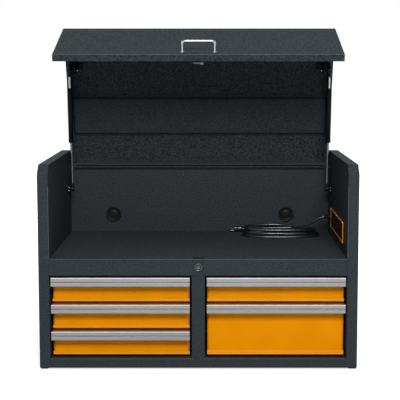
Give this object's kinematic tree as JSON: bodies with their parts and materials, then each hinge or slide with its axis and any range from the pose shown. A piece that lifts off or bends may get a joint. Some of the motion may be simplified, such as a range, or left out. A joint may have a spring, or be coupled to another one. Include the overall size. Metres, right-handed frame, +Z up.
{
  "type": "machinist tool chest",
  "caption": "Wide top tool chest with a lift-up lid on gas struts, drawers with full-width pulls, and a till with a power strip and its coiled cord.",
  "frame": {"origin": "under the middle of the whole part's box with the lid raised, on the surface that the feet stand on", "axes": "+X to the right as seen from the front, +Y to the back, +Z up"},
  "size_m": [1.041, 0.5914, 1.1224],
  "materials": {
    "body_paint": "fine textured powder coat, charcoal",
    "orange_paint": "satin powder coat, orange",
    "aluminium_trim": "brushed, clear anodised",
    "chrome_wire": "polished",
    "zinc_steel": "zinc plated",
    "lock_chrome": "polished",
    "black_rubber": "matt",
    "cord_vinyl": "satin vinyl",
    "black_plastic": "fine grain",
    "orange_plastic": "semi gloss",
    "black_steel": "satin black coat",
    "strut_rod_steel": "dark nitrided"
  },
  "bodies": {
    "chest": {"left_side_shell": "body_paint", "right_side_shell": "body_paint", "left_side_liner": "body_paint", "right_side_liner": "body_paint", "back_panel": "body_paint", "bottom_pan": "body_paint", "till_floor": "body_paint", "front_top_rail": "body_paint", "front_bottom_rail": "body_paint", "center_divider": "body_paint", "rubber_feet": "black_rubber", "cable_grommets": "black_rubber", "slide_outer_members": "black_steel", "hinge_body_leaf": "body_paint", "hinge_pin": "zinc_steel", "strut_wall_mounts": "black_steel", "power_strip_housing": "black_plastic", "power_strip_trim": "orange_plastic", "power_strip_outlets": "black_plastic", "lock_housing": "lock_chrome", "cord_lead": "cord_vinyl", "cord_coil": "cord_vinyl", "cord_plug": "cord_vinyl"},
    "lid": {"lid_shell": "body_paint", "lid_stiffener": "body_paint", "lid_handle": "chrome_wire", "lid_handle_screws": "zinc_steel", "lid_strike": "zinc_steel", "hinge_lid_leaf": "body_paint", "strut_lid_mounts": "black_steel"},
    "strut_cases": {"strut_cylinders": "black_steel"},
    "strut_rods": {"strut_rods": "strut_rod_steel"},
    "lock": {"lock_plug": "lock_chrome", "lock_cam": "zinc_steel"},
    "lock_bar": {"lock_bar": "zinc_steel"},
    "left_top_drawer": {"left_top_drawer_box": "body_paint", "left_top_drawer_front": "orange_paint", "left_top_drawer_handle": "aluminium_trim", "left_top_drawer_slide_inner": "black_steel"},
    "left_top_slide_mids": {"left_top_drawer_slide_mid": "black_steel"},
    "left_middle_drawer": {"left_middle_drawer_box": "body_paint", "left_middle_drawer_front": "orange_paint", "left_middle_drawer_handle": "aluminium_trim", "left_middle_drawer_slide_inner": "black_steel"},
    "left_middle_slide_mids": {"left_middle_drawer_slide_mid": "black_steel"},
    "left_bottom_drawer": {"left_bottom_drawer_box": "body_paint", "left_bottom_drawer_front": "orange_paint", "left_bottom_drawer_handle": "aluminium_trim", "left_bottom_drawer_slide_inner": "black_steel"},
    "left_bottom_slide_mids": {"left_bottom_drawer_slide_mid": "black_steel"},
    "right_top_drawer": {"right_top_drawer_box": "body_paint", "right_top_drawer_front": "orange_paint", "right_top_drawer_handle": "aluminium_trim", "right_top_drawer_slide_inner": "black_steel"},
    "right_top_slide_mids": {"right_top_drawer_slide_mid": "black_steel"},
    "right_deep_drawer": {"right_deep_drawer_box": "body_paint", "right_deep_drawer_front": "orange_paint", "right_deep_drawer_handle": "aluminium_trim", "right_deep_drawer_slide_inner": "black_steel"},
    "right_deep_slide_mids": {"right_deep_drawer_slide_mid": "black_steel"}
  },
  "joints": [
    {"name": "lid_hinge", "type": "hinge", "parent": "chest", "child": "lid", "pos_m": [0, 0.24327, 0.619], "axis": [-1, 0, 0], "range_deg": [-70, 0]},
    {"name": "strut_pivot", "type": "hinge", "parent": "lid", "child": "strut_cases", "pos_m": [0, 0.11826, 0.97299], "axis": [1, 0, 0], "range_deg": [-2.41, 0.1]},
    {"name": "strut_slide", "type": "slide", "parent": "strut_cases", "child": "strut_rods", "axis": [0, -0.1072, 0.9942], "range_m": [0, 0.1295]},
    {"name": "lock_turn", "type": "hinge", "parent": "chest", "child": "lock", "pos_m": [0, -0.28373, 0.3398], "axis": [0, 1, 0], "range_deg": [0, 90]},
    {"name": "lock_bar_lift", "type": "slide", "parent": "chest", "child": "lock_bar", "axis": [0, 0, 1], "range_m": [0, 0.01272]},
    {"name": "left_top_pull", "type": "slide", "parent": "chest", "child": "left_top_drawer", "axis": [0, -1, 0], "range_m": [0, 0.4]},
    {"name": "left_top_mid", "type": "slide", "parent": "chest", "child": "left_top_slide_mids", "axis": [0, -1, 0], "range_m": [0, 0.201]},
    {"name": "left_middle_pull", "type": "slide", "parent": "chest", "child": "left_middle_drawer", "axis": [0, -1, 0], "range_m": [0, 0.4]},
    {"name": "left_middle_mid", "type": "slide", "parent": "chest", "child": "left_middle_slide_mids", "axis": [0, -1, 0], "range_m": [0, 0.201]},
    {"name": "left_bottom_pull", "type": "slide", "parent": "chest", "child": "left_bottom_drawer", "axis": [0, -1, 0], "range_m": [0, 0.4]},
    {"name": "left_bottom_mid", "type": "slide", "parent": "chest", "child": "left_bottom_slide_mids", "axis": [0, -1, 0], "range_m": [0, 0.201]},
    {"name": "right_top_pull", "type": "slide", "parent": "chest", "child": "right_top_drawer", "axis": [0, -1, 0], "range_m": [0, 0.4]},
    {"name": "right_top_mid", "type": "slide", "parent": "chest", "child": "right_top_slide_mids", "axis": [0, -1, 0], "range_m": [0, 0.201]},
    {"name": "right_deep_pull", "type": "slide", "parent": "chest", "child": "right_deep_drawer", "axis": [0, -1, 0], "range_m": [0, 0.4]},
    {"name": "right_deep_mid", "type": "slide", "parent": "chest", "child": "right_deep_slide_mids", "axis": [0, -1, 0], "range_m": [0, 0.201]}
  ],
  "couplings": [
    {"joint": "strut_pivot", "follows": "lid_hinge", "ratio": 0.03159},
    {"joint": "strut_slide", "follows": "lid_hinge", "m_per_rad": -0.10562},
    {"joint": "lock_turn", "follows": "lock_bar_lift", "rad_per_m": 123.41},
    {"joint": "left_top_mid", "follows": "left_top_pull", "ratio": 0.5},
    {"joint": "left_middle_mid", "follows": "left_middle_pull", "ratio": 0.5},
    {"joint": "left_bottom_mid", "follows": "left_bottom_pull", "ratio": 0.5},
    {"joint": "right_top_mid", "follows": "right_top_pull", "ratio": 0.5},
    {"joint": "right_deep_mid", "follows": "right_deep_pull", "ratio": 0.5}
  ]
}
